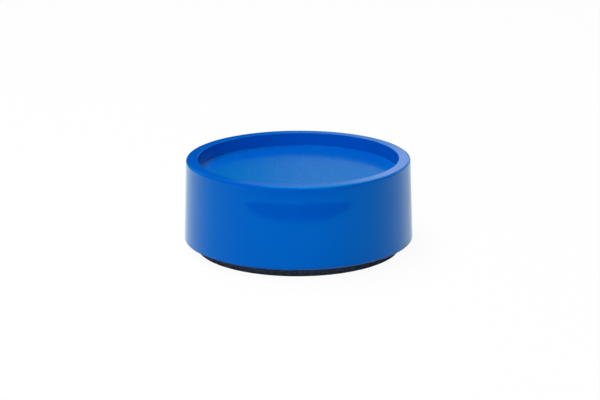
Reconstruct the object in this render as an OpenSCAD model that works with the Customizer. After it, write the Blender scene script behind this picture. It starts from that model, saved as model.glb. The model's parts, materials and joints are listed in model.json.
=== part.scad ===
// Sliding hockey puck: a blue moulded shell with a dished top, weighted inside, on a felt glide pad.
// Millimetres, +Z up. The origin is the middle of the pad's underside, where the puck meets the floor.

/* [Shell outside] */
// Diameter at the skirt's bottom edge, the widest place
puck_diameter = 76.2; // [70:0.1:90]
// Height from the skirt's bottom edge to the rim
body_height = 27; // [24:0.5:34]
// Lean of the side from upright, in degrees
side_draft = 2; // [0:0.1:3]
// Rounding of the rim's outer edge
rim_round = 0.7; // [0.2:0.1:1.2]
// Rounding of the skirt's bottom edges
skirt_round = 0.5; // [0.1:0.1:1]

/* [Top recess] */
// Width of the flat rim around the recess
rim_width = 3.9; // [3:0.1:6]
// Depth of the recess below the rim
recess_depth = 4.5; // [3:0.1:5]
// Lean of the recess wall from upright, in degrees
recess_draft = 3; // [0:0.5:8]
// Rounding of the rim's inner edge
mouth_round = 0.15; // [0.1:0.05:1]
// Fillet between the recess wall and its floor
floor_fillet = 0.15; // [0.1:0.05:1.5]
// Thickness of the recess floor
floor_thickness = 2.6; // [2:0.1:3.5]

/* [Shell inside] */
// Thickness of the skirt at its bottom edge
skirt_wall = 3.6; // [2.6:0.1:5]
// Lean of the skirt's inside from upright, in degrees
core_draft = 0.5; // [0:0.1:1.5]
// Fillet between the skirt and the underside of the floor
root_fillet = 1; // [0.5:0.1:2]
// Ribs under the floor, evenly spaced
rib_count = 6; // [3:3:12]
// Thickness of a rib
rib_thickness = 1.8; // [1.2:0.1:2.4]
// Screw bosses, evenly spaced, with a screw in each
boss_count = 3; // [3:1:6]
// Diameter of a boss
boss_diameter = 7.5; // [6.5:0.1:9]
// From the skirt's inside to the middle of a boss
boss_inset = 8; // [7:0.5:12]

/* [Base plate] */
// Thickness of the base plate
base_thickness = 2.4; // [2:0.1:3.5]
// Gap around the base plate, inside the skirt
base_gap = 0.2; // [0.1:0.05:0.4]
// Rounding of the base plate's edges
base_round = 0.3; // [0.1:0.1:0.8]

/* [Screws] */
// Length of a screw, from its head's face to its point
screw_length = 13; // [9.5:0.5:16]
// Diameter over the thread
screw_diameter = 2.9; // [2.6:0.1:3.5]
// Depth of the thread
thread_depth = 0.35; // [0.2:0.05:0.45]
// Distance from one thread ridge to the next
thread_pitch = 1.1; // [0.8:0.1:1.4]
// Length of the point
point_length = 2.5; // [1.5:0.5:3]
// Diameter of the countersunk head
head_diameter = 5.5; // [5:0.1:6]
// Straight edge of the head
head_land = 0.25; // [0.1:0.05:0.4]
// How far the head lies below the plate's underside
head_sink = 0.1; // [0.05:0.05:0.3]
// Width of each slot of the cross recess
slot_width = 0.7; // [0.5:0.1:0.9]
// Length of each slot of the cross recess
slot_length = 2.8; // [2:0.1:3.4]
// Depth of the cross recess
slot_depth = 1.2; // [0.8:0.1:1.5]
// Gap around the head in its countersink
head_gap = 0.05; // [0.02:0.01:0.1]
// Gap around the shank in the base plate
shank_gap = 0.25; // [0.1:0.05:0.4]
// Gap around the thread in its boss
thread_gap = 0.05; // [0.02:0.01:0.1]
// Room past the screw's point
bore_spare = 1.5; // [0.5:0.5:2]

/* [Ballast] */
// Thickness of the steel ballast plate
ballast_thickness = 4; // [2:0.5:6]
// Gap around the ballast plate, inside the skirt
ballast_gap = 1.2; // [0.8:0.1:3]
// Rounding of the ballast plate's edges
ballast_round = 0.4; // [0.1:0.1:0.8]
// Gap around a boss in the ballast plate and its liner
boss_gap = 0.3; // [0.1:0.05:0.6]
// Thickness of the foam liner as the ribs press it
liner_thickness = 1.5; // [1:0.1:3]

/* [Glide pad] */
// Thickness of the felt pad
pad_thickness = 3.2; // [1.5:0.1:4]
// From the skirt's bottom edge in to the pad's edge
pad_inset = 4.1; // [1:0.1:6]
// Rounding of the pad's lower edge
pad_round = 0.3; // [0.1:0.1:1]
// Thickness of the tape that holds the pad
tape_thickness = 0.2; // [0.1:0.05:0.5]
// From the pad's edge in to the tape's edge
tape_inset = 0.3; // [0:0.1:0.4]

/* [Hidden] */
$fn = 96;

// How far a rounding's arc stands past the edges that it joins, so that it crosses them
arc_overlap = 0.002;
// How far a cut runs past the face that it opens
cut_overlap = 0.5;

// Heights, from the floor up
base_bottom = pad_thickness + tape_thickness;
base_top = base_bottom + base_thickness;
ballast_top = base_top + ballast_thickness;
liner_top = ballast_top + liner_thickness;
rim_top = base_bottom + body_height;
recess_floor = rim_top - recess_depth;
floor_underside = recess_floor - floor_thickness;

// Radii
skirt_outer = puck_diameter / 2;
skirt_inner = skirt_outer - skirt_wall;
core_top = skirt_inner - (floor_underside - base_bottom) * tan(core_draft);
rim_outer = skirt_outer - body_height * tan(side_draft);
recess_mouth = rim_outer - rim_width;
recess_foot = recess_mouth - recess_depth * tan(recess_draft);
base_radius = skirt_inner - base_thickness * tan(core_draft) - base_gap;
ballast_radius = core_top - ballast_gap;
pad_radius = skirt_outer - pad_inset;
tape_radius = pad_radius - tape_inset;
boss_radius = boss_diameter / 2;
boss_circle = skirt_inner - boss_inset;

// Screws, which stand head down on the plate's underside
head_face = base_bottom + head_sink;
head_radius = head_diameter / 2;
crest_radius = screw_diameter / 2;
root_radius = crest_radius - thread_depth;
shank_hole = crest_radius + shank_gap;
sink_radius = head_radius + head_gap;
sink_height = head_sink + head_land;
bore_depth = head_face + screw_length + bore_spare - base_top;

function unit(v) = v / norm(v);

function cross_z(a, b) = a[0] * b[1] - a[1] * b[0];

// Where a corner's rounding starts and ends, and the middle of its arc
function corner_arc(before, corner, after, radius) =
  let (
    back = unit(before - corner),
    ahead = unit(after - corner),
    half = acos(back * ahead) / 2,
    reach = radius / tan(half)
  )
  [corner + back * reach, corner + ahead * reach, corner + unit(back + ahead) * radius / sin(half)];

// An outline listed anticlockwise, with each corner rounded outside or filleted inside by a true arc
module rounded_outline(points, radii) {
  last = len(points) - 1;
  before = [for (i = [0:last]) points[(i + last) % (last + 1)]];
  after = [for (i = [0:last]) points[(i + 1) % (last + 1)]];
  arcs = [for (i = [0:last]) corner_arc(before[i], points[i], after[i], radii[i])];
  outside = [for (i = [0:last]) cross_z(points[i] - before[i], after[i] - points[i]) > 0];
  union() {
    polygon([
      for (i = [0:last])
        each radii[i] > 0 && outside[i] ? [arcs[i][0], arcs[i][1]] : [points[i]]
    ]);
    for (i = [0:last])
      if (radii[i] > 0 && outside[i])
        translate(arcs[i][2])
          circle(radii[i] + arc_overlap);
    for (i = [0:last])
      if (radii[i] > 0 && !outside[i])
        difference() {
          polygon([arcs[i][2], arcs[i][1], 2 * points[i] - arcs[i][2], arcs[i][0]]);
          translate(arcs[i][2])
            circle(radii[i] + arc_overlap);
        }
  }
}

// A disc with its lower and upper edges rounded
module soft_disc(radius, bottom, top, lower_round, upper_round) {
  rotate_extrude()
    rounded_outline(
      [[0, bottom], [radius, bottom], [radius, top], [0, top]],
      [0, lower_round, upper_round, 0]
    );
}

// Whatever it is given, once at each boss
module at_bosses() {
  for (i = [0:boss_count - 1])
    rotate(90 + i * 360 / boss_count)
      translate([boss_circle, 0, 0])
        children();
}

// The skirt, rim, recess and floor in one revolved section
module shell_wall() {
  rotate_extrude()
    rounded_outline(
      [
        [0, floor_underside],
        [core_top, floor_underside],
        [skirt_inner, base_bottom],
        [skirt_outer, base_bottom],
        [rim_outer, rim_top],
        [recess_mouth, rim_top],
        [recess_foot, recess_floor],
        [0, recess_floor]
      ],
      [0, root_fillet, skirt_round, skirt_round, rim_round, mouth_round, floor_fillet, 0]
    );
}

// Ribs from the middle out into the skirt, down to the liner that they press
module shell_ribs() {
  rib_length = core_top + skirt_wall / 2;
  rib_height = floor_underside + floor_thickness / 2 - liner_top;
  for (i = [0:rib_count - 1])
    rotate(90 + i * 360 / rib_count)
      translate([0, -rib_thickness / 2, liner_top])
        cube([rib_length, rib_thickness, rib_height]);
}

module shell() {
  color("#005dbc")
    difference() {
      union() {
        shell_wall();
        shell_ribs();
        at_bosses()
          translate([0, 0, base_top])
            cylinder(r = boss_radius, h = floor_underside + floor_thickness / 2 - base_top);
      }
      at_bosses()
        translate([0, 0, base_top - cut_overlap])
          cylinder(r = crest_radius + thread_gap, h = bore_depth + cut_overlap);
    }
}

// The plate that closes the skirt, with a countersunk hole under each boss
module base_plate() {
  color("#24272c")
    difference() {
      soft_disc(base_radius, base_bottom, base_top, base_round, base_round);
      at_bosses()
        translate([0, 0, base_bottom])
          rotate_extrude()
            polygon([
              [0, -cut_overlap],
              [sink_radius, -cut_overlap],
              [sink_radius, sink_height],
              [shank_hole, sink_height + sink_radius - shank_hole],
              [shank_hole, base_thickness + cut_overlap],
              [0, base_thickness + cut_overlap]
            ]);
    }
}

// One countersunk screw, point up, with its thread drawn as rings
module base_screw() {
  neck = head_land + head_radius - root_radius;
  turns = floor((screw_length - point_length - neck) / thread_pitch);
  rise = (screw_length - point_length - neck) / turns;
  difference() {
    rotate_extrude()
      polygon([
        [0, 0],
        [head_radius, 0],
        [head_radius, head_land],
        for (i = [0:turns - 1])
          each [[root_radius, neck + i * rise], [crest_radius, neck + (i + 0.5) * rise]],
        [root_radius, screw_length - point_length],
        [0, screw_length]
      ]);
    for (turn = [0, 90])
      rotate(turn)
        translate([-slot_length / 2, -slot_width / 2, -cut_overlap])
          cube([slot_length, slot_width, slot_depth + cut_overlap]);
  }
}

module base_screws() {
  color("silver")
    at_bosses()
      translate([0, 0, head_face])
        base_screw();
}

// A disc that slips over the bosses
module bossed_disc(bottom, top, edge_round) {
  difference() {
    soft_disc(ballast_radius, bottom, top, edge_round, edge_round);
    at_bosses()
      translate([0, 0, bottom - cut_overlap])
        cylinder(r = boss_radius + boss_gap, h = top - bottom + 2 * cut_overlap);
  }
}

module ballast_plate() {
  color("lightslategray")
    bossed_disc(base_top, ballast_top, ballast_round);
}

module ballast_liner() {
  color("dimgray")
    bossed_disc(ballast_top, liner_top, 0);
}

module pad_tape() {
  color("wheat")
    translate([0, 0, pad_thickness])
      cylinder(r = tape_radius, h = tape_thickness);
}

module glide_pad() {
  color("#1b222c")
    soft_disc(pad_radius, 0, pad_thickness, pad_round, 0);
}

shell();
base_plate();
base_screws();
ballast_plate();
ballast_liner();
pad_tape();
glide_pad();
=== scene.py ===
"""Dish-topped sliding puck: finishes, felt pad, foam liner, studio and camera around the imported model."""
import json
import math
import random

import bpy
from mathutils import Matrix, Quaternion, Vector, noise
from mathutils.geometry import delaunay_2d_cdt


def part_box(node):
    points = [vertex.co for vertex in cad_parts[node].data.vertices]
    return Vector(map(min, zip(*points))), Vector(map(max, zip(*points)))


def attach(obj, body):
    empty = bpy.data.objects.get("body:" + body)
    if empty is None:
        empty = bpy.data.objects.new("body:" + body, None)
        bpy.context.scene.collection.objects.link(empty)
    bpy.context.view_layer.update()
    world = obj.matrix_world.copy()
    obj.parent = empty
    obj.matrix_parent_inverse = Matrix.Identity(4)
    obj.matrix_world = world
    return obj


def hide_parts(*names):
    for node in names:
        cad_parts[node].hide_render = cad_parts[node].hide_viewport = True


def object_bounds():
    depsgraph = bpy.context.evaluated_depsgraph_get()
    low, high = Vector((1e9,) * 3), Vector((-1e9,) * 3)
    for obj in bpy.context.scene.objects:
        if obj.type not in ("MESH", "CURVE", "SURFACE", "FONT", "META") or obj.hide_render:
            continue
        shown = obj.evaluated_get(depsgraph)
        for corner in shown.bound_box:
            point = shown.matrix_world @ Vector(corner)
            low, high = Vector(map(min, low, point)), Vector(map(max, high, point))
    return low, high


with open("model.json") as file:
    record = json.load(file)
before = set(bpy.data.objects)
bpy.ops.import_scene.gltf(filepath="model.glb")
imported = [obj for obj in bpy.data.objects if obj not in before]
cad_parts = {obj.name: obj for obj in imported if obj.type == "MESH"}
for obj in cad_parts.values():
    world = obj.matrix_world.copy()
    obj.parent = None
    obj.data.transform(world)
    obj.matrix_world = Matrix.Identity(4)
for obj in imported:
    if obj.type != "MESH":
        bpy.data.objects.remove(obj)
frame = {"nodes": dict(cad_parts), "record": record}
cad_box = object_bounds()

MM = 0.001

# Places and sizes that the frame gives
mounts = {mount["name"]: mount for mount in frame["record"]["mounts"]}
recess_level = mounts["recess_floor"]["pos_m"][2]
shell_low, shell_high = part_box("shell")
puck_radius = shell_high.x
skirt_level = shell_low.z
pad_low, pad_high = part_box("glide_pad")
liner_low, liner_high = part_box("ballast_liner")

# Camera, where the photograph was taken from
CAMERA_DISTANCE = 660 * MM
CAMERA_RISE = math.radians(15.91)
CAMERA_ROLL = math.radians(-0.25)
CAMERA_PIVOT = Vector((0, 0, 16.95)) * MM
CAMERA_AIM = Vector((0.535, 0, 15.7)) * MM
CAMERA_NEAREST = 10 * MM
CAMERA_FARTHEST = 20
LENS_MM = 118.95
SENSOR_MM = 36


def add_camera():
    data = bpy.data.cameras.new("camera")
    data.sensor_fit = "HORIZONTAL"
    data.sensor_width = SENSOR_MM
    data.lens = LENS_MM
    data.clip_start = CAMERA_NEAREST
    data.clip_end = CAMERA_FARTHEST
    camera = bpy.data.objects.new("camera", data)
    bpy.context.scene.collection.objects.link(camera)
    back = Vector((0, -math.cos(CAMERA_RISE), math.sin(CAMERA_RISE)))
    camera.location = CAMERA_PIVOT + back * CAMERA_DISTANCE
    level = (CAMERA_AIM - camera.location).to_track_quat("-Z", "Y")
    camera.rotation_euler = (level @ Quaternion((0, 0, 1), CAMERA_ROLL)).to_euler()
    bpy.context.scene.camera = camera


add_camera()


# Helpers for node trees and meshes
def feed(tree, node, inputs):
    """Sets a node's inputs: a plain value is written on the socket, and a socket is linked to it."""
    for name, value in inputs.items():
        if isinstance(value, bpy.types.NodeSocket):
            tree.links.new(value, node.inputs[name])
        else:
            node.inputs[name].default_value = value


def place(tree, kind, inputs=None, **settings):
    """Adds a node with its settings and its inputs."""
    node = tree.nodes.new(kind)
    for name, value in settings.items():
        setattr(node, name, value)
    feed(tree, node, inputs or {})
    return node


def math_node(tree, operation, *values, clamp=False):
    inputs = dict(enumerate(values))
    return place(tree, "ShaderNodeMath", inputs, operation=operation, use_clamp=clamp).outputs[0]


def ramp(tree, value, start, end, low=0.0, high=1.0):
    """Takes a value from start to end over to low to high, and holds it there outside."""
    inputs = {"Value": value, "From Min": start, "From Max": end, "To Min": low, "To Max": high}
    return place(tree, "ShaderNodeMapRange", inputs, clamp=True).outputs[0]


def mix_colour(tree, factor, first, second):
    return place(tree, "ShaderNodeMix", {0: factor, 6: first, 7: second}, data_type="RGBA").outputs[2]


def mix_value(tree, factor, first, second):
    return place(tree, "ShaderNodeMix", {0: factor, 2: first, 3: second}, data_type="FLOAT").outputs[0]


def noise_texture(tree, vector, scale, detail=2.0, roughness=0.5, distortion=0.0):
    inputs = {
        "Vector": vector,
        "Scale": scale,
        "Detail": detail,
        "Roughness": roughness,
        "Distortion": distortion,
    }
    return place(tree, "ShaderNodeTexNoise", inputs).outputs["Fac"]


def object_place(tree):
    return place(tree, "ShaderNodeTexCoord").outputs["Object"]


def stretched(tree, vector, scale, turn=0.0):
    inputs = {"Vector": vector, "Rotation": (0.0, 0.0, turn), "Scale": scale}
    return place(tree, "ShaderNodeMapping", inputs).outputs[0]


def bump(tree, height, depth, normal=None):
    inputs = {"Height": height, "Strength": 1.0, "Distance": depth}
    if normal is not None:
        inputs["Normal"] = normal
    return place(tree, "ShaderNodeBump", inputs).outputs[0]


def new_group(name, inputs, outputs):
    """A shared finish: a shader node group with named sockets. Returns it, its inputs and its end."""
    group = bpy.data.node_groups.new(name, "ShaderNodeTree")
    for socket_name, kind, value in inputs:
        socket = group.interface.new_socket(name=socket_name, in_out="INPUT", socket_type=kind)
        socket.default_value = value
    for socket_name, kind in outputs:
        group.interface.new_socket(name=socket_name, in_out="OUTPUT", socket_type=kind)
    start = group.nodes.new("NodeGroupInput")
    end = group.nodes.new("NodeGroupOutput")
    return group, start.outputs, end.inputs


def use_group(tree, group, inputs):
    return place(tree, "ShaderNodeGroup", inputs, node_tree=group).outputs


def bare_material(name):
    """A node material with nothing in it yet. Returns the material and its tree."""
    material = bpy.data.materials.new(name)
    material.use_nodes = True
    material.node_tree.nodes.clear()
    return material, material.node_tree


def new_material(name):
    """A node material with its Principled shader in place. Returns the material, its tree and the shader."""
    material, tree = bare_material(name)
    shader = place(tree, "ShaderNodeBsdfPrincipled")
    place(tree, "ShaderNodeOutputMaterial", {"Surface": shader.outputs[0]})
    return material, tree, shader


def new_piece(name, points, faces, material, smooth=True):
    mesh = bpy.data.meshes.new(name)
    mesh.from_pydata(points, [], faces)
    mesh.materials.append(material)
    mesh.polygons.foreach_set("use_smooth", [smooth] * len(mesh.polygons))
    mesh.update()
    piece = bpy.data.objects.new(name, mesh)
    bpy.context.scene.collection.objects.link(piece)
    return piece


def unevenness(spot, lumps_per_metre):
    """A smooth uneven value from about 0 to 1, the same at the same place each time."""
    return noise.noise(spot * lumps_per_metre) * 0.5 + 0.5


# Finishes that more than one material shares
DRIFT_GAIN = 4.0
TOOTH_FINER = 2.7
PIT_SHARE = 0.7
TOOTH_SHARE = 0.3
PIT_HEIGHTS = (0.4, 0.6)
RUB_TURNS = (0.5, 2.2)
RUB_STRETCH = (1.0, 0.03, 0.03)
RUB_WIDTH = 0.012
RUB_PATCHES = 110.0
RUB_BARE = 0.7
RUB_CONTRAST = 3.0
ROLL_STRETCH = (0.02, 1.0, 1.0)
STAIN_PATCHES = 90.0
STAIN_RANGE = (0.35, 0.65)
LINE_RANGE = (0.3, 0.7)


def colour_drift_group():
    """Slow drift of a colour's depth over the surface, as pigment and cooling leave it."""
    group, start, end = new_group(
        "colour drift",
        [
            ("Colour", "NodeSocketColor", (0.5, 0.5, 0.5, 1.0)),
            ("Patches per Metre", "NodeSocketFloat", 60.0),
            ("Depth", "NodeSocketFloat", 0.05),
        ],
        [("Colour", "NodeSocketColor")],
    )
    patches = noise_texture(group, object_place(group), start["Patches per Metre"], detail=3.0)
    centred = math_node(group, "SUBTRACT", patches, 0.5)
    swing = math_node(group, "MULTIPLY", centred, start["Depth"])
    level = math_node(group, "MULTIPLY_ADD", swing, DRIFT_GAIN, 1.0)
    shaded = place(group, "ShaderNodeVectorMath", {0: start["Colour"], "Scale": level}, operation="SCALE")
    group.links.new(shaded.outputs[0], end["Colour"])
    return group


def spark_grain_group():
    """Fine eroded grain of a mould face: rounded pits with a finer tooth between them."""
    group, start, end = new_group(
        "spark grain",
        [("Pits per Metre", "NodeSocketFloat", 2500.0)],
        [("Height", "NodeSocketFloat"), ("Pits", "NodeSocketFloat")],
    )
    where = object_place(group)
    pits = noise_texture(group, where, start["Pits per Metre"], detail=1.0)
    finer = math_node(group, "MULTIPLY", start["Pits per Metre"], TOOTH_FINER)
    tooth = noise_texture(group, where, finer, detail=1.0)
    broad = math_node(group, "MULTIPLY", pits, PIT_SHARE)
    height = math_node(group, "MULTIPLY_ADD", tooth, TOOTH_SHARE, broad)
    deep = ramp(group, height, *PIT_HEIGHTS, 1.0, 0.0)
    group.links.new(height, end["Height"])
    group.links.new(deep, end["Pits"])
    return group


def hairline_group():
    """Hairline rubs in two directions, gathered in patches."""
    group, start, end = new_group(
        "hairline rubs",
        [("Lines per Metre", "NodeSocketFloat", 900.0), ("Share", "NodeSocketFloat", 0.3)],
        [("Rubs", "NodeSocketFloat")],
    )
    where = object_place(group)
    lines = []
    for turn in RUB_TURNS:
        across = stretched(group, where, RUB_STRETCH, turn)
        wave = noise_texture(group, across, start["Lines per Metre"], detail=1.0)
        ridge = math_node(group, "ABSOLUTE", math_node(group, "SUBTRACT", wave, 0.5))
        lines.append(ramp(group, ridge, 0.0, RUB_WIDTH, 1.0, 0.0))
    both = math_node(group, "MAXIMUM", *lines)
    patches = noise_texture(group, where, RUB_PATCHES, detail=2.0)
    bare = math_node(group, "MULTIPLY", math_node(group, "SUBTRACT", 1.0, start["Share"]), RUB_BARE)
    kept = math_node(group, "SUBTRACT", patches, bare, clamp=True)
    strength = math_node(group, "MULTIPLY", kept, RUB_CONTRAST, clamp=True)
    group.links.new(math_node(group, "MULTIPLY", both, strength), end["Rubs"])
    return group


def rolled_metal_group():
    """Fine lines that rolling and plating leave on sheet and wire."""
    group, start, end = new_group(
        "rolled metal",
        [("Lines per Metre", "NodeSocketFloat", 1500.0)],
        [("Lines", "NodeSocketFloat"), ("Stain", "NodeSocketFloat")],
    )
    where = object_place(group)
    rolled = stretched(group, where, ROLL_STRETCH)
    lines = noise_texture(group, rolled, start["Lines per Metre"], detail=2.0)
    stain = noise_texture(group, where, STAIN_PATCHES, detail=4.0, roughness=0.6)
    group.links.new(lines, end["Lines"])
    group.links.new(stain, end["Stain"])
    return group


colour_drift = colour_drift_group()
spark_grain = spark_grain_group()
hairline_rubs = hairline_group()
rolled_metal = rolled_metal_group()


def drifting(tree, colour, patches, depth):
    inputs = {"Colour": colour, "Patches per Metre": patches, "Depth": depth}
    return use_group(tree, colour_drift, inputs)["Colour"]


def grain_of(tree, pits):
    return use_group(tree, spark_grain, {"Pits per Metre": pits})


def rubs_of(tree, lines, share):
    return use_group(tree, hairline_rubs, {"Lines per Metre": lines, "Share": share})["Rubs"]


def metal_of(tree, lines):
    return use_group(tree, rolled_metal, {"Lines per Metre": lines})


# Blue moulding: polished, with spark grain on the recess floor
BLUE = (0.0, 0.09, 0.52, 1.0)
PLASTIC_IOR = 1.5
GLOSS_TINT = (0.02, 1.0, 1.0, 1.0)
GLOSS_ROUGHNESS = 0.035
HAZE_ROUGHNESS = (-0.01, 0.02)
HAZE_PATCHES = 70.0
HAZE_RANGE = (0.35, 0.75)
RUB_ROUGHNESS = 0.12
SINK_WAVES = 90.0
SINK_DEPTH = 0.004 * MM
GRAIN_PITS = 1500.0
GRAIN_DEPTH = 0.05 * MM
GRAIN_ROUGHNESS = (0.13, 0.24)
GRAIN_LIGHT = (0.0, 0.117, 0.575, 1.0)
GRAIN_DEEP = (0.0, 0.08, 0.415, 1.0)
GRAIN_INSETS = (4.4 * MM, 5.2 * MM)
GRAIN_RISE = (0.02 * MM, 0.25 * MM)


def recess_floor_mask(tree, where):
    """1 on the recess floor and 0 off it, by the distance from the axis and from the floor's level."""
    parts = place(tree, "ShaderNodeSeparateXYZ", {0: where}).outputs
    from_axis = place(tree, "ShaderNodeCombineXYZ", {0: parts["X"], 1: parts["Y"]}).outputs[0]
    radius = place(tree, "ShaderNodeVectorMath", {0: from_axis}, operation="LENGTH").outputs["Value"]
    begins, full = GRAIN_INSETS
    inside = ramp(tree, radius, puck_radius - begins, puck_radius - full)
    rise = math_node(tree, "ABSOLUTE", math_node(tree, "SUBTRACT", parts["Z"], recess_level))
    level = ramp(tree, rise, *GRAIN_RISE, 1.0, 0.0)
    return math_node(tree, "MULTIPLY", inside, level)


def gloss_blue():
    """Polished blue moulding with a spark-grained recess floor."""
    material, tree, shader = new_material("gloss_blue")
    where = object_place(tree)
    grained = recess_floor_mask(tree, where)
    grain = grain_of(tree, GRAIN_PITS)
    rubs = rubs_of(tree, lines=700.0, share=0.25)
    drift = drifting(tree, BLUE, patches=45.0, depth=0.02)
    speckle = mix_colour(tree, grain["Pits"], GRAIN_LIGHT, GRAIN_DEEP)

    cloud = noise_texture(tree, where, HAZE_PATCHES, detail=3.0)
    haze = ramp(tree, cloud, *HAZE_RANGE, *HAZE_ROUGHNESS)
    polished = math_node(tree, "ADD", haze, GLOSS_ROUGHNESS)
    rubbed = math_node(tree, "MULTIPLY_ADD", rubs, RUB_ROUGHNESS, polished)
    toothed = ramp(tree, grain["Pits"], 0.0, 1.0, *GRAIN_ROUGHNESS)

    height = math_node(tree, "MULTIPLY", grain["Height"], grained)
    waves = bump(tree, noise_texture(tree, where, SINK_WAVES, detail=1.0), SINK_DEPTH)
    feed(tree, shader, {
        "Base Color": mix_colour(tree, grained, drift, speckle),
        "Roughness": mix_value(tree, grained, rubbed, toothed),
        "IOR": PLASTIC_IOR,
        "Specular Tint": GLOSS_TINT,
        "Normal": bump(tree, height, GRAIN_DEPTH, waves),
    })
    return material


def base_black():
    """Matt black moulding of the base plate."""
    material, tree, shader = new_material("base_black")
    black = (0.018, 0.02, 0.025, 1.0)
    scuffed = (0.06, 0.062, 0.066, 1.0)
    scuff_strength = 0.4
    roughness = (0.45, 0.6)
    grain = grain_of(tree, pits=1800.0)
    rubs = rubs_of(tree, lines=500.0, share=0.4)
    scuffs = math_node(tree, "MULTIPLY", rubs, scuff_strength)
    clean = drifting(tree, black, patches=80.0, depth=0.08)
    feed(tree, shader, {
        "Base Color": mix_colour(tree, scuffs, clean, scuffed),
        "Roughness": ramp(tree, grain["Pits"], 0.0, 1.0, *roughness),
        "Normal": bump(tree, grain["Height"], depth=0.03 * MM),
    })
    return material


def zinc_plate():
    """Bright zinc on the screws."""
    material, tree, shader = new_material("zinc_plate")
    bright = (0.66, 0.68, 0.71, 1.0)
    dulled = (0.56, 0.57, 0.55, 1.0)
    roughness = (0.2, 0.34)
    metal = metal_of(tree, lines=3000.0)
    feed(tree, shader, {
        "Base Color": mix_colour(tree, metal["Stain"], bright, dulled),
        "Metallic": 1.0,
        "Roughness": ramp(tree, metal["Lines"], *LINE_RANGE, *roughness),
        "Normal": bump(tree, metal["Lines"], depth=0.004 * MM),
    })
    return material


def mill_steel():
    """Stamped steel of the ballast plate, as it comes from the mill."""
    material, tree, shader = new_material("mill_steel")
    pale = (0.34, 0.35, 0.37, 1.0)
    stained = (0.25, 0.25, 0.255, 1.0)
    scratched = (0.5, 0.5, 0.51, 1.0)
    scratch_strength = 0.5
    roughness = (0.32, 0.5)
    metal = metal_of(tree, lines=1400.0)
    rubs = rubs_of(tree, lines=420.0, share=0.5)
    scratches = math_node(tree, "MULTIPLY", rubs, scratch_strength)
    tint = mix_colour(tree, ramp(tree, metal["Stain"], *STAIN_RANGE), pale, stained)
    feed(tree, shader, {
        "Base Color": mix_colour(tree, scratches, tint, scratched),
        "Metallic": 1.0,
        "Roughness": ramp(tree, metal["Lines"], *LINE_RANGE, *roughness),
        "Normal": bump(tree, metal["Lines"], depth=0.01 * MM),
    })
    return material


def cell_foam():
    """Closed-cell foam of the liner."""
    material, tree, shader = new_material("cell_foam")
    grey = (0.05, 0.05, 0.055, 1.0)
    hollow = (0.02, 0.02, 0.022, 1.0)
    cells_per_metre = 1600.0
    wall_range = (0.15, 0.6)
    roughness = (0.95, 0.8)
    inputs = {"Vector": object_place(tree), "Scale": cells_per_metre}
    cells = place(tree, "ShaderNodeTexVoronoi", inputs, feature="SMOOTH_F1").outputs["Distance"]
    walls = ramp(tree, cells, *wall_range)
    skin = drifting(tree, grey, patches=120.0, depth=0.1)
    feed(tree, shader, {
        "Base Color": mix_colour(tree, walls, hollow, skin),
        "Roughness": ramp(tree, walls, 0.0, 1.0, *roughness),
        "Normal": bump(tree, walls, depth=0.12 * MM),
    })
    return material


def tape_film():
    """Honey-coloured adhesive film, with its fine crinkle."""
    material, tree, shader = new_material("tape_film")
    honey = (0.72, 0.62, 0.45, 1.0)
    roughness = (0.35, 0.55)
    crinkle = noise_texture(tree, object_place(tree), scale=420.0, detail=4.0, distortion=0.6)
    feed(tree, shader, {
        "Base Color": drifting(tree, honey, patches=90.0, depth=0.06),
        "Roughness": ramp(tree, crinkle, *LINE_RANGE, *roughness),
        "Normal": bump(tree, crinkle, depth=0.03 * MM),
    })
    return material


# Felt of the glide pad. Each layer of strands has its turn and its count per metre.
FELT_DARK = (0.014, 0.023, 0.036, 1.0)
FELT_LIGHT = (0.06, 0.1, 0.145, 1.0)
# Painted shade: the colour that the felt darkens to towards the floor, where the pad meets it
FELT_FLOOR_SHADE = (0.012, 0.015, 0.02, 1.0)
FELT_SHEEN = (0.45, 0.55, 0.7, 1.0)
FELT_SHEEN_WEIGHT = 0.35
FELT_SHEEN_ROUGHNESS = 0.5
FELT_ROUGHNESS = 0.95
FELT_GLOSS = 0.2
STRAND_LAYERS = ((0.0, 2300.0), (1.05, 2000.0), (2.1, 2600.0))
STRAND_STRETCH = (1.0, 0.12, 0.7)
STRAND_LIFT = (0.45, 0.72)
STRAND_DEPTH = 0.1 * MM
# Heights over which the painted shade fades out above the floor, and its strongest share
FLOOR_SHADE_LEVELS = (0.2 * MM, 1.3 * MM)
FLOOR_SHADE_MOST = 0.75


def needled_felt():
    """Dense dark felt: tangled fibres that run every way in the plane of the pad, with painted shade that
    darkens it towards the floor.
    """
    material, tree, shader = new_material("needled_felt")
    where = object_place(tree)
    strands = []
    for turn, count in STRAND_LAYERS:
        across = stretched(tree, where, STRAND_STRETCH, turn)
        strands.append(noise_texture(tree, across, count, detail=2.0, distortion=0.8))
    upper = math_node(tree, "MAXIMUM", strands[0], strands[1])
    lift = ramp(tree, math_node(tree, "MAXIMUM", upper, strands[2]), *STRAND_LIFT)
    raised = drifting(tree, FELT_LIGHT, patches=260.0, depth=0.12)
    clean = mix_colour(tree, lift, FELT_DARK, raised)
    height = place(tree, "ShaderNodeSeparateXYZ", {0: where}).outputs["Z"]
    # Painted shade near the floor, strongest at the pad's foot
    floor_shade = ramp(tree, height, *FLOOR_SHADE_LEVELS, FLOOR_SHADE_MOST, 0.0)
    feed(tree, shader, {
        "Base Color": mix_colour(tree, floor_shade, clean, FELT_FLOOR_SHADE),
        "Roughness": FELT_ROUGHNESS,
        "Specular IOR Level": FELT_GLOSS,
        "Sheen Weight": FELT_SHEEN_WEIGHT,
        "Sheen Roughness": FELT_SHEEN_ROUGHNESS,
        "Sheen Tint": FELT_SHEEN,
        "Normal": bump(tree, lift, STRAND_DEPTH),
    })
    return material


felt = needled_felt()
finishes = {
    "shell": gloss_blue(),
    "base_plate": base_black(),
    "base_screws": zinc_plate(),
    "ballast_plate": mill_steel(),
    "pad_tape": tape_film(),
}
for node_name, finish in finishes.items():
    frame["nodes"][node_name].data.materials[0] = finish

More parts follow.
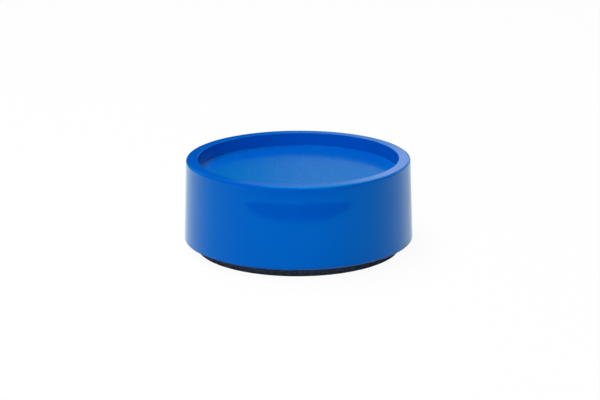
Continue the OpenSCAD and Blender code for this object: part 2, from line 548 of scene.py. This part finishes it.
# Glide pad: a die-cut felt disc with a softened lower edge and an uneven nap
PAD_TURNS = 480
PAD_RINGS = 60
PAD_EDGE_ROUND = 0.3 * MM
PAD_EDGE_STEPS = 6
PAD_SIDE_STEPS = 8
PAD_TOP_ROUND = 0.15 * MM
PAD_TOP_STEPS = 3
NAP_DEPTH = 0.07 * MM
CUT_DEPTH = 0.12 * MM
NAP_LUMPS = 700
NAP_TOOTH = 2600
LUMP_SHARE = 0.55
NAP_TOOTH_SHARE = 0.45


def arc_points(middle, radius, start, end, steps):
    """Points of an arc in the plane of radius and height, from one angle to another, in degrees."""
    angles = [math.radians(start + (end - start) * i / steps) for i in range(steps + 1)]
    return [(middle[0] + radius * math.cos(a), middle[1] + radius * math.sin(a)) for a in angles]


def pad_profile():
    """The pad's half section, from near the middle of its underside round to the edge of its top."""
    edge = pad_high.x
    top = pad_high.z
    flat = edge - PAD_EDGE_ROUND
    wall = top - PAD_TOP_ROUND - PAD_EDGE_ROUND
    points = [(flat * ring / PAD_RINGS, 0.0) for ring in range(1, PAD_RINGS)]
    points += arc_points((flat, PAD_EDGE_ROUND), PAD_EDGE_ROUND, -90, 0, PAD_EDGE_STEPS)
    for step in range(1, PAD_SIDE_STEPS):
        points.append((edge, PAD_EDGE_ROUND + wall * step / PAD_SIDE_STEPS))
    points += arc_points((edge - PAD_TOP_ROUND, top - PAD_TOP_ROUND), PAD_TOP_ROUND, 0, 90, PAD_TOP_STEPS)
    return points


def nap(spot, depth):
    """How far the felt's face lies back at a place: broad lumps with a finer tooth."""
    lumps = unevenness(spot, NAP_LUMPS)
    tooth = unevenness(spot, NAP_TOOTH)
    return depth * (LUMP_SHARE * lumps + NAP_TOOTH_SHARE * tooth)


def make_glide_pad():
    profile = pad_profile()
    side_from = PAD_RINGS - 1
    points = [Vector((0.0, 0.0, NAP_DEPTH / 2))]
    for index, (radius, height) in enumerate(profile):
        for turn in range(PAD_TURNS):
            angle = 2 * math.pi * turn / PAD_TURNS
            spot = Vector((radius * math.cos(angle), radius * math.sin(angle), height))
            if index < side_from:
                spot.z += nap(spot, NAP_DEPTH)
            else:
                share = 1 - nap(spot, CUT_DEPTH) / radius
                spot.x *= share
                spot.y *= share
                spot.z += nap(spot, NAP_DEPTH) * max(0.0, 1 - height / PAD_EDGE_ROUND)
            points.append(spot)
    last = len(points)
    points.append(Vector((0.0, 0.0, pad_high.z)))
    faces = []
    for turn in range(PAD_TURNS):
        beside = (turn + 1) % PAD_TURNS
        faces.append((0, 1 + beside, 1 + turn))
        for index in range(len(profile) - 1):
            low = 1 + index * PAD_TURNS
            high = low + PAD_TURNS
            faces.append((low + turn, low + beside, high + beside, high + turn))
        low = 1 + (len(profile) - 1) * PAD_TURNS
        faces.append((low + turn, low + beside, last))
    return new_piece("felt_pad", points, faces, felt)


# Loose fibres at the cut edge of the felt: they leave it outward, lean to any side, curl and thin out
FIBRE_COUNT = 2600
FIBRE_SEED = 5
FIBRE_RADIUS = 0.013 * MM
FIBRE_LENGTH_MM = (0.5, 1.1)
FIBRE_STEPS = 4
FIBRE_SIDES = 3
FIBRE_ROOT = 0.3 * MM
FIBRE_ABOVE_BOTTOM = 0.15 * MM
FIBRE_BELOW_TOP = 0.1 * MM
FIBRE_OFF_FLOOR = 0.03 * MM
FIBRE_OFF_SKIRT = 0.12 * MM
FIBRE_LEAN = 1.1
FIBRE_TILT = 0.5
FIBRE_CURL = 0.9
FIBRE_DROOP = (-0.5, 0.4)
FIBRE_BEND = 0.5
FIBRE_TAPER = 0.6


def upward(height):
    return Vector((0, 0, height))


def fibre_rings(draw):
    """The rings of corners along one loose fibre, from its root in the felt to its tip."""
    angle = draw.uniform(0, 2 * math.pi)
    outward = Vector((math.cos(angle), math.sin(angle), 0))
    around = Vector((-outward.y, outward.x, 0))
    height = draw.uniform(pad_low.z + FIBRE_ABOVE_BOTTOM, pad_high.z - FIBRE_BELOW_TOP)
    spot = outward * (pad_high.x - FIBRE_ROOT) + upward(height)
    lean = around * draw.uniform(-FIBRE_LEAN, FIBRE_LEAN)
    heading = outward + lean + upward(draw.uniform(-FIBRE_TILT, FIBRE_TILT))
    curl = around * draw.uniform(-FIBRE_CURL, FIBRE_CURL) + upward(draw.uniform(*FIBRE_DROOP))
    length = draw.uniform(*FIBRE_LENGTH_MM) * MM
    rings = []
    for step in range(FIBRE_STEPS):
        ahead = heading.normalized()
        sideways = ahead.cross(upward(1)).normalized()
        over = sideways.cross(ahead)
        thickness = FIBRE_RADIUS * (1 - FIBRE_TAPER * step / (FIBRE_STEPS - 1))
        ring = []
        for side in range(FIBRE_SIDES):
            turn = 2 * math.pi * side / FIBRE_SIDES
            ring.append(spot + (sideways * math.cos(turn) + over * math.sin(turn)) * thickness)
        rings.append(ring)
        spot = spot + ahead * (length / (FIBRE_STEPS - 1))
        heading = ahead + curl * FIBRE_BEND
    return rings


def make_pad_fibres():
    draw = random.Random(FIBRE_SEED)
    lowest = pad_low.z + FIBRE_OFF_FLOOR
    highest = skirt_level - FIBRE_OFF_SKIRT
    points = []
    faces = []
    for _ in range(FIBRE_COUNT):
        first = len(points)
        for ring in fibre_rings(draw):
            for corner in ring:
                corner.z = min(max(corner.z, lowest), highest)
                points.append(corner)
        for step in range(FIBRE_STEPS - 1):
            low = first + step * FIBRE_SIDES
            high = low + FIBRE_SIDES
            for side in range(FIBRE_SIDES):
                beside = (side + 1) % FIBRE_SIDES
                faces.append((low + side, low + beside, high + beside, high + side))
        tip = first + (FIBRE_STEPS - 1) * FIBRE_SIDES
        faces.append(tuple(tip + side for side in range(FIBRE_SIDES)))
        faces.append(tuple(first + side for side in reversed(range(FIBRE_SIDES))))
    return new_piece("felt_fibres", points, faces, felt)


glide_pad = make_glide_pad()
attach(glide_pad, "root")
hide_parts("glide_pad")

pad_fibres = make_pad_fibres()
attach(pad_fibres, "root")

# Foam liner between the ballast and the ribs: its holes clear the screw bosses, and the ribs dent it
LINER_TURNS = 240
LINER_GRID = 1.2 * MM
BOSS_HOLE = 4.05 * MM
BOSS_CIRCLE = 26.5 * MM
BOSS_ANGLES = (90, 210, 330)
HOLE_TURNS = 40
INSIDE_HOLE = 0.995
SAME_POINT = 1e-7
RIB_ANGLES = (90, 150, 210, 270, 330, 30)
RIB_DENT = 0.18 * MM
RIB_HALF_WIDTH = 0.9 * MM
DENT_SLOPE = 1.1 * MM
FOAM_SKIN = 0.04 * MM
SKIN_LUMPS = 900
TOP_SKIN_LAYER = 1
UNDER_SKIN_LAYER = 2


def towards(degrees):
    return Vector((math.cos(math.radians(degrees)), math.sin(math.radians(degrees))))


def ring_points(middle, radius, count):
    angles = [2 * math.pi * i / count for i in range(count)]
    return [Vector((middle.x + radius * math.cos(a), middle.y + radius * math.sin(a))) for a in angles]


def rib_dent(spot):
    """How deep the ribs above press into the foam at a place."""
    deepest = 0.0
    for angle in RIB_ANGLES:
        line = towards(angle)
        if spot.x * line.x + spot.y * line.y <= 0:
            continue
        off = abs(spot.x * line.y - spot.y * line.x) - RIB_HALF_WIDTH
        share = min(max(1 - off / DENT_SLOPE, 0.0), 1.0)
        deepest = max(deepest, RIB_DENT * share * share * (3 - 2 * share))
    return deepest


def liner_plan():
    """The liner seen from above: its points, its triangles and the edges of its outlines."""
    edge = liner_high.x
    middles = [towards(angle) * BOSS_CIRCLE for angle in BOSS_ANGLES]
    outlines = [ring_points(Vector((0, 0)), edge, LINER_TURNS)]
    outlines += [ring_points(middle, BOSS_HOLE, HOLE_TURNS) for middle in middles]
    flat = []
    edges = []
    for outline in outlines:
        first = len(flat)
        flat += outline
        edges += [(first + i, first + (i + 1) % len(outline)) for i in range(len(outline))]
    steps = int(edge / LINER_GRID)
    for column in range(-steps, steps + 1):
        for row in range(-steps, steps + 1):
            spot = Vector((column * LINER_GRID, row * LINER_GRID))
            clear = all((spot - middle).length > BOSS_HOLE + LINER_GRID / 2 for middle in middles)
            if clear and spot.length < edge - LINER_GRID / 2:
                flat.append(spot)
    spots, _, triangles, _, _, _ = delaunay_2d_cdt(flat, edges, [], 0, SAME_POINT)
    kept = []
    for triangle in triangles:
        centre = sum((spots[i] for i in triangle), Vector((0, 0))) / 3
        if all((centre - middle).length > BOSS_HOLE * INSIDE_HOLE for middle in middles):
            kept.append(tuple(triangle))
    return spots, kept, edges


def make_liner():
    spots, triangles, edges = liner_plan()
    points = []
    for spot in spots:
        skin = FOAM_SKIN * unevenness(Vector((spot.x, spot.y, TOP_SKIN_LAYER)), SKIN_LUMPS)
        points.append(Vector((spot.x, spot.y, liner_high.z - skin - rib_dent(spot))))
    for spot in spots:
        skin = FOAM_SKIN * unevenness(Vector((spot.x, spot.y, UNDER_SKIN_LAYER)), SKIN_LUMPS)
        points.append(Vector((spot.x, spot.y, liner_low.z + skin)))
    count = len(spots)
    faces = list(triangles)
    faces += [tuple(count + i for i in reversed(triangle)) for triangle in triangles]
    faces += [(start, count + start, count + end, end) for start, end in edges]
    return new_piece("foam_liner", points, faces, cell_foam())


liner = make_liner()
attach(liner, "root")
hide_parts("ballast_liner")

# Studio: floor, soft lamps, and cards that only gloss sees
WHITE = (1.0, 1.0, 1.0, 1.0)
FLOOR_DROP = 0.05 * MM
FLOOR_HALF = 5.0
FLOOR_PAPER = (0.77, 0.77, 0.77, 1.0)
BACKGROUND_SHARE = 0.95
WORLD_LEVEL = 0.01


def seen_directly(tree):
    """1 for rays that show the background itself: the camera's, and those in gloss and glass."""
    path = place(tree, "ShaderNodeLightPath").outputs
    gloss = math_node(tree, "MAXIMUM", path["Is Glossy Ray"], path["Is Transmission Ray"])
    return math_node(tree, "MAXIMUM", path["Is Camera Ray"], gloss)


def floor_material():
    """Pale paper that takes shadows, nearly white where it is seen, and clear from below."""
    material, tree = bare_material("pale_floor")
    paper = place(tree, "ShaderNodeBsdfDiffuse", {"Color": FLOOR_PAPER}).outputs[0]
    white = place(tree, "ShaderNodeEmission", {"Color": WHITE, "Strength": 1.0}).outputs[0]
    share = math_node(tree, "MULTIPLY", seen_directly(tree), BACKGROUND_SHARE)
    lit = place(tree, "ShaderNodeMixShader", {0: share, 1: paper, 2: white}).outputs[0]
    below = place(tree, "ShaderNodeNewGeometry").outputs["Backfacing"]
    clear = place(tree, "ShaderNodeBsdfTransparent").outputs[0]
    sides = place(tree, "ShaderNodeMixShader", {0: below, 1: lit, 2: clear}).outputs[0]
    place(tree, "ShaderNodeOutputMaterial", {"Surface": sides})
    return material


def make_floor():
    half = FLOOR_HALF
    level = -FLOOR_DROP
    corners = [(-half, -half, level), (half, -half, level), (half, half, level), (-half, half, level)]
    floor = new_piece("floor", corners, [(0, 1, 2, 3)], floor_material(), smooth=False)


def make_world():
    world = bpy.data.worlds.new("studio")
    bpy.context.scene.world = world
    world.use_nodes = True
    tree = world.node_tree
    tree.nodes.clear()
    level = ramp(tree, seen_directly(tree), 0.0, 1.0, WORLD_LEVEL, 1.0)
    light = place(tree, "ShaderNodeBackground", {"Color": WHITE, "Strength": level}).outputs[0]
    place(tree, "ShaderNodeOutputWorld", {"Surface": light})


def card_material():
    """A glow in the colour that a card's points carry."""
    material, tree = bare_material("card_glow")
    colour = place(tree, "ShaderNodeAttribute", attribute_name="glow").outputs["Color"]
    glow = place(tree, "ShaderNodeEmission", {"Color": colour, "Strength": 1.0}).outputs[0]
    place(tree, "ShaderNodeOutputMaterial", {"Surface": glow})
    return material


card_glow = card_material()


def make_card(name, points, faces, colours):
    """A studio card that is seen in gloss only, and casts no light on anything dull and no shadow."""
    card = new_piece(name, points, faces, card_glow, smooth=False)
    attribute = card.data.attributes.new("glow", "FLOAT_COLOR", "POINT")
    attribute.data.foreach_set("color", [level for colour in colours for level in (*colour, 1.0)])
    card.visible_camera = False
    card.visible_diffuse = False
    card.visible_transmission = False
    card.visible_shadow = False


def grid_faces(rows, columns):
    faces = []
    for row in range(rows - 1):
        for column in range(columns - 1):
            corner = row * columns + column
            faces.append((corner, corner + 1, corner + columns + 1, corner + columns))
    return faces


def between(first, second, share):
    """A colour on the way from one to another."""
    share = min(max(share, 0.0), 1.0)
    return tuple(a + (b - a) * share for a, b in zip(first, second))


def share_between(value, limits):
    return (value - limits[0]) / (limits[1] - limits[0])


def along(stops, value):
    """The colour at a value on a row of stops, each a value with its colour."""
    colour = stops[0][1]
    for (low, first), (high, second) in zip(stops, stops[1:]):
        if value > low:
            colour = between(first, second, share_between(value, (low, high)))
    return colour


# The floor card that the puck's side mirrors: pale, brighter round to the sides, with a painted shadow under
# the puck and along its foot.
# A stop is a compass angle from the front, in degrees, with the card's colour in that direction.
CARD_LIFT = 0.1 * MM
CARD_NEAR = 1 * MM
CARD_FAR = 1500 * MM
CARD_STEPS = 60
CARD_SWEEP = 89
CARD_COOL = (0.72, 0.72, 0.76)
CARD_LEFT = (
    (46, CARD_COOL),
    (70, (0.68, 0.74, 0.76)),
    (88, (0.52, 0.82, 0.79)),
    (96, (0.5, 0.88, 0.81)),
    (106, (0.6, 0.98, 0.86)),
    (113, (0.76, 1.03, 0.88)),
    (129, (0.92, 1.08, 0.9)),
    (146, (0.96, 1.17, 1.06)),
)
CARD_RIGHT = (
    (46, CARD_COOL),
    (70, (0.66, 0.72, 0.76)),
    (80, (0.62, 0.74, 0.78)),
    (92, (0.68, 0.84, 0.86)),
    (104, (0.76, 0.97, 1.02)),
    (117, (0.86, 1.03, 1.12)),
    (135, (0.96, 1.1, 1.2)),
    (160, (0.8, 0.93, 0.98)),
)
CARD_DISTANT = (0.25, 0.25, 0.27)
# Painted shadow: the colour that gloss sees on the floor under the puck, and the reach over which it fades
# out
CARD_UNDER_SHADOW = (0.3, 0.3, 0.3)
UNDER_SHADOW_FADE = (2 * MM, 13 * MM)
UNDER_SHADOW_TURNS = 96
DISTANT_FADE = (120 * MM, 133 * MM)
FRONT_FADE = (35, 75)


def mirrored(side_angle, reach, lift):
    """The floor point that the side shows at an angle from the front, at a reach from the side's face."""
    turn = math.radians(side_angle)
    start = Vector((math.sin(turn), -math.cos(turn), 0)) * puck_radius
    away = Vector((math.sin(2 * turn), -math.cos(2 * turn), 0))
    return start + away * reach + upward(lift)


def make_floor_card():
    points = []
    colours = []
    angles = range(-CARD_SWEEP, CARD_SWEEP + 1)
    for angle in angles:
        shade = along(CARD_LEFT if angle < 0 else CARD_RIGHT, abs(2 * angle))
        distant = between(CARD_DISTANT, shade, share_between(abs(2 * angle), FRONT_FADE))
        for step in range(CARD_STEPS + 1):
            reach = CARD_NEAR * (CARD_FAR / CARD_NEAR) ** (step / CARD_STEPS)
            colour = between(shade, distant, share_between(reach, DISTANT_FADE))
            points.append(mirrored(angle, reach, CARD_LIFT))
            # Painted shadow: near the puck's face the card darkens to the colour of the floor's shadow
            colours.append(between(CARD_UNDER_SHADOW, colour, share_between(reach, UNDER_SHADOW_FADE)))
    make_card("floor_card", points, grid_faces(len(angles), CARD_STEPS + 1), colours)
    # A dark disc under the puck, a painted shadow that gloss sees in place of the floor's real shadow
    ring = ring_points(Vector((0, 0)), puck_radius + CARD_NEAR, UNDER_SHADOW_TURNS)
    under = [(spot.x, spot.y, CARD_LIFT / 2) for spot in ring]
    make_card("under_shadow_card", under, [tuple(range(UNDER_SHADOW_TURNS))], [CARD_UNDER_SHADOW] * UNDER_SHADOW_TURNS)


# The dark card in front, which the middle of the side mirrors as a faint crescent.
# A row is a share of the way from the far edge to the near one, with how pale the card is there.
CRESCENT_HALF_ANGLE = 28
CRESCENT_BLUNTNESS = 4
CRESCENT_FAR = 114 * MM
CRESCENT_NEAR = 81 * MM
CRESCENT_TIP = 106 * MM
CRESCENT_DARK = (0.0, 0.0, 0.0)
CRESCENT_ROWS = ((0.0, 0.4), (0.12, 0.0), (0.7, 0.05), (0.9, 0.5), (1.0, 1.0))


def make_crescent():
    points = []
    colours = []
    angles = range(-CRESCENT_HALF_ANGLE, CRESCENT_HALF_ANGLE + 1)
    for angle in angles:
        bow = (angle / CRESCENT_HALF_ANGLE) ** CRESCENT_BLUNTNESS
        far = CRESCENT_FAR + (CRESCENT_TIP - CRESCENT_FAR) * bow
        near = CRESCENT_NEAR + (CRESCENT_TIP - CRESCENT_NEAR) * bow
        for share, pale in CRESCENT_ROWS:
            points.append(mirrored(angle, far + (near - far) * share, 2 * CARD_LIFT))
            colours.append(between(CRESCENT_DARK, CARD_COOL, pale))
    make_card("dark_card", points, grid_faces(len(angles), len(CRESCENT_ROWS)), colours)


# The room that gloss sees: dim walls and ceiling, and a cool back wall with a glow above its middle
ROOM_HALF = 2000 * MM
ROOM_BACK = 1000 * MM
ROOM_FRONT = -1200 * MM
ROOM_HEIGHT = 900 * MM
WALL_GREY = (0.02, 0.03, 0.03)
CEILING_GREY = (0.0, 0.02, 0.02)
BACK_COOL = (0.0, 0.3, 0.3)
BACK_HIGH = (0.0, 0.8, 0.8)
GLOW = (0.54, 0.3, 0.3)
GLOW_FROM = 330 * MM
GLOW_EDGE = 1 * MM
GLOW_COLUMNS = ((-ROOM_HALF, 0.0), (-30 * MM, 0.0), (12 * MM, 1.0), (55 * MM, 0.0), (ROOM_HALF, 0.0))
BACK_ROWS = (
    (0.0, BACK_COOL, 0.0),
    (GLOW_FROM, BACK_COOL, 0.0),
    (GLOW_FROM + GLOW_EDGE, BACK_COOL, 1.0),
    (ROOM_HEIGHT, BACK_HIGH, 1.0),
)


def make_room():
    plan = (
        (-ROOM_HALF, ROOM_BACK),
        (-ROOM_HALF, ROOM_FRONT),
        (ROOM_HALF, ROOM_FRONT),
        (ROOM_HALF, ROOM_BACK),
    )
    low = [(x, y, 0.0) for x, y in plan]
    high = [(x, y, ROOM_HEIGHT) for x, y in plan]
    make_card("walls", low + high, grid_faces(2, len(plan)), [WALL_GREY] * 2 * len(plan))
    make_card("ceiling", high, [(0, 1, 2, 3)], [CEILING_GREY] * len(plan))


def make_back_wall():
    points = []
    colours = []
    for level, cool, row_share in BACK_ROWS:
        for column, share in GLOW_COLUMNS:
            points.append((column, ROOM_BACK, level))
            colours.append(tuple(c + g * share * row_share for c, g in zip(cool, GLOW)))
    make_card("back_wall", points, grid_faces(len(BACK_ROWS), len(GLOW_COLUMNS)), colours)


# Pale panels on the right, which the rim's rounded outer edge mirrors
PANEL_COLUMNS = (
    (200 * MM, BACK_COOL),
    (300 * MM, (0.47, 0.72, 0.78)),
    (800 * MM, (0.47, 0.72, 0.78)),
    (1300 * MM, (0.28, 0.62, 0.8)),
    (ROOM_HALF, (0.12, 0.52, 0.74)),
)
RIGHT_WALL_FRONT = -600 * MM
RIGHT_WALL_PALE = (0.03, 0.5, 0.7)


def make_back_panel():
    levels = (0.0, ROOM_HEIGHT)
    points = []
    colours = []
    for level in levels:
        for column, colour in PANEL_COLUMNS:
            points.append((column, ROOM_BACK - CARD_LIFT / 2, level))
            colours.append(colour)
    make_card("back_panel", points, grid_faces(len(levels), len(PANEL_COLUMNS)), colours)


def make_right_panel():
    wall = ROOM_HALF - CARD_LIFT
    corners = [
        (wall, RIGHT_WALL_FRONT, 0.0),
        (wall, ROOM_BACK, 0.0),
        (wall, ROOM_BACK, ROOM_HEIGHT),
        (wall, RIGHT_WALL_FRONT, ROOM_HEIGHT),
    ]
    make_card("right_panel", corners, [(0, 1, 2, 3)], [RIGHT_WALL_PALE] * len(corners))


# The strip along the back wall, which the rim mirrors: it pales to the right, past edges that lean
STRIP_LEVELS = ((256 * MM, 0.0), (264 * MM, 1.0), (318 * MM, 1.0), (326 * MM, 0.0))
STRIP_MIDDLE = 290 * MM
STRIP_LEAN = -1.0
STRIP_COLUMNS = (
    (-600 * MM, (0.0, 0.04, 0.04)),
    (-90 * MM, (0.0, 0.04, 0.04)),
    (-34 * MM, (0.005, 0.14, 0.14)),
    (-20 * MM, (0.15, 0.26, 0.26)),
    (5 * MM, (0.19, 0.38, 0.38)),
    (25 * MM, (0.3, 0.47, 0.47)),
    (50 * MM, (0.36, 0.57, 0.57)),
    (70 * MM, (0.45, 0.68, 0.68)),
    (90 * MM, (0.86, 1.0, 1.0)),
    (600 * MM, (0.86, 1.0, 1.0)),
)


def make_strip():
    points = []
    colours = []
    for level, share in STRIP_LEVELS:
        for column, colour in STRIP_COLUMNS:
            points.append((column + STRIP_LEAN * (level - STRIP_MIDDLE), ROOM_BACK - CARD_LIFT, level))
            colours.append(between(BACK_COOL, colour, share))
    make_card("strip", points, grid_faces(len(STRIP_LEVELS), len(STRIP_COLUMNS)), colours)


# The soft box in the ceiling, right of the middle. Its left edge slants from the near end to the far one.
SOFT_BOX_LEFT = (-526 * MM, -16 * MM)
SOFT_BOX_RIGHT = 900 * MM
SOFT_BOX_SPAN = (-810 * MM, 1000 * MM)
SOFT_BOX_FADE = 90 * MM
SOFT_BOX_DROP = 2 * MM
SOFT_BOX_PALE = (0.72, 2.3, 2.3)


def make_soft_box():
    level = ROOM_HEIGHT - SOFT_BOX_DROP
    near, far = SOFT_BOX_SPAN
    left_near, left_far = SOFT_BOX_LEFT
    rows = ((near - SOFT_BOX_FADE, 0.0), (near + SOFT_BOX_FADE, 1.0), (far, 1.0))
    points = []
    colours = []
    for row, row_share in rows:
        left = left_near + (left_far - left_near) * share_between(row, SOFT_BOX_SPAN)
        columns = (
            (left - SOFT_BOX_FADE, 0.0),
            (left + SOFT_BOX_FADE, 1.0),
            (SOFT_BOX_RIGHT - SOFT_BOX_FADE, 1.0),
            (SOFT_BOX_RIGHT + SOFT_BOX_FADE, 0.0),
        )
        for column, share in columns:
            points.append((column, row, level))
            colours.append(between(CEILING_GREY, SOFT_BOX_PALE, row_share * share))
    make_card("soft_box", points, grid_faces(len(rows), len(columns)), colours)


# Soft lamps: compass angle from the front and rise in degrees, distance and width in metres, and power
LAMPS = {
    "key": (-45, 65, 1.0, 0.5, 4.3),
    "back": (-135, 70, 1.0, 0.5, 6.6),
    "front": (0, 25, 1.0, 0.7, 3.7),
    "side": (-30, 45, 1.0, 0.7, 1.6),
    "fill": (155, 12, 1.0, 0.7, 2.2),
}


def make_lamps():
    aim = upward((cad_box[0].z + cad_box[1].z) / 2)
    for name, (compass, rise, distance, width, power) in LAMPS.items():
        data = bpy.data.lights.new(name, "AREA")
        data.shape = "SQUARE"
        data.size = width
        data.energy = power
        lamp = bpy.data.objects.new(name, data)
        bpy.context.scene.collection.objects.link(lamp)
        turn = math.radians(compass)
        lift = math.radians(rise)
        level = Vector((math.sin(turn), -math.cos(turn), 0)) * math.cos(lift)
        away = level + upward(math.sin(lift))
        lamp.location = aim + away * distance
        lamp.rotation_euler = (-away).to_track_quat("-Z", "Y").to_euler()
        lamp.visible_glossy = False


make_floor()
make_world()
make_floor_card()
make_crescent()
make_room()
make_back_wall()
make_back_panel()
make_right_panel()
make_strip()
make_soft_box()
make_lamps()
bpy.context.scene.view_settings.view_transform = "Standard"
